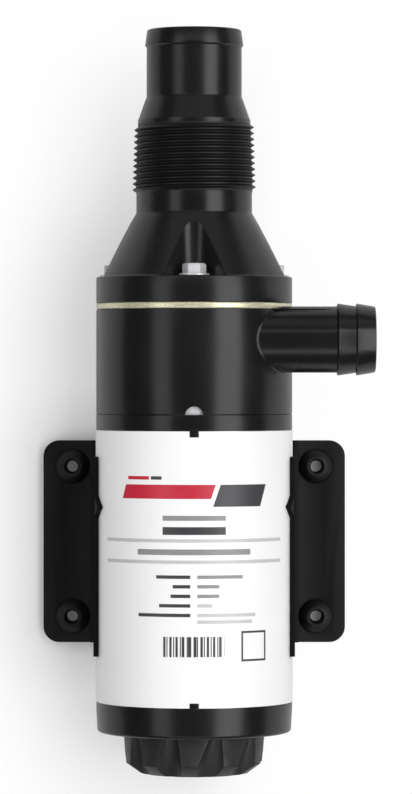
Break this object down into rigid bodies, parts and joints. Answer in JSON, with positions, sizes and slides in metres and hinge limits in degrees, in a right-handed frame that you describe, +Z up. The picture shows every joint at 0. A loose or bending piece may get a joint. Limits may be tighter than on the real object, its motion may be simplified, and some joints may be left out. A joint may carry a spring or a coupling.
{
  "type": "macerator pump",
  "caption": "Inline electric macerator pump on a grommeted mounting plate: threaded hose inlet at one end, side hose outlet, turning knob at the other.",
  "frame": {"origin": "centre of the four mounting holes, on the surface that the grommets stand on", "axes": "+Y along the pump to the inlet, +X to the side of the discharge port, +Z up out of the mounting surface"},
  "size_m": [0.1302, 0.2893, 0.0867],
  "materials": {
    "black_plastic": "satin moulded",
    "plate_plastic": "satin moulded",
    "painted_steel": "satin black",
    "bell_casting": "satin black over cast metal",
    "shell_steel": "drawn tube",
    "label_film": "printed film",
    "wear_plate_steel": "polished",
    "steel": "bright",
    "bearing_steel": "ground",
    "lamination_steel": "stacked sheets",
    "copper": "drawn copper",
    "brass": "rolled",
    "ferrite": "sintered",
    "phenolic": "pressed sheet",
    "carbon": "pressed carbon",
    "ceramic": "lapped",
    "vane_plastic": "moulded",
    "rubber": "moulded rubber"
  },
  "bodies": {
    "pump_frame": {"inlet_housing": "black_plastic", "inlet_bolts": "steel", "inlet_bolt_washers": "steel", "inlet_o_ring": "rubber", "wear_plate": "wear_plate_steel", "housing_o_ring": "rubber", "pump_housing": "black_plastic", "seal_cup": "rubber", "seal_ring": "ceramic", "front_bell": "bell_casting", "front_outer_race": "bearing_steel", "motor_shell": "shell_steel", "motor_label": "label_film", "magnet_upper": "ferrite", "magnet_lower": "ferrite", "brush_plate": "phenolic", "brush_plate_screws": "steel", "thermal_protector": "steel", "brush_holder_upper": "brass", "brush_holder_lower": "brass", "brush_spring_upper": "steel", "brush_spring_lower": "steel", "through_bolts": "steel", "rear_bell": "black_plastic", "rear_outer_race": "bearing_steel", "wave_washer": "steel", "lead_gland": "rubber", "saddle": "painted_steel", "saddle_screws": "steel", "saddle_nuts": "steel", "base_plate": "plate_plastic", "grommet_rear_left": "rubber", "grommet_rear_right": "rubber", "grommet_front_left": "rubber", "grommet_front_right": "rubber"},
    "rotor": {"motor_shaft": "steel", "armature_core": "lamination_steel", "armature_windings": "copper", "commutator_hub": "phenolic", "commutator_bars": "copper", "front_inner_race": "bearing_steel", "rear_inner_race": "bearing_steel", "slinger": "rubber", "seal_face": "carbon", "seal_spring": "steel", "impeller": "vane_plastic", "impeller_pin": "steel", "cutter_spacer": "steel", "cutter_blade": "steel", "cutter_washer": "steel", "cutter_nut": "steel", "turning_knob": "black_plastic", "knob_screw": "steel"},
    "front_ball_set": {"front_balls": "bearing_steel", "front_ball_cage": "brass"},
    "rear_ball_set": {"rear_balls": "bearing_steel", "rear_ball_cage": "brass"},
    "upper_brush": {"brush_upper": "carbon"},
    "lower_brush": {"brush_lower": "carbon"}
  },
  "joints": [
    {"name": "rotor_spin", "type": "hinge", "parent": "pump_frame", "child": "rotor", "pos_m": [0, 0, 0.04831], "axis": [0, 1, 0], "continuous": true},
    {"name": "front_ball_spin", "type": "hinge", "parent": "pump_frame", "child": "front_ball_set", "pos_m": [0, 0, 0.04831], "axis": [0, 1, 0], "continuous": true},
    {"name": "rear_ball_spin", "type": "hinge", "parent": "pump_frame", "child": "rear_ball_set", "pos_m": [0, 0, 0.04831], "axis": [0, 1, 0], "continuous": true},
    {"name": "brush_upper_slide", "type": "slide", "parent": "pump_frame", "child": "upper_brush", "axis": [0, 0, 1], "range_m": [0, 0.004], "stiffness_N_per_m": 200, "springref_m": -0.005, "deforming": ["brush_spring_upper"]},
    {"name": "brush_lower_slide", "type": "slide", "parent": "pump_frame", "child": "lower_brush", "axis": [0, 0, -1], "range_m": [0, 0.004], "stiffness_N_per_m": 200, "springref_m": -0.005, "deforming": ["brush_spring_lower"]}
  ],
  "couplings": [
    {"joint": "front_ball_spin", "follows": "rotor_spin", "ratio": 0.3677},
    {"joint": "rear_ball_spin", "follows": "rotor_spin", "ratio": 0.3677}
  ]
}
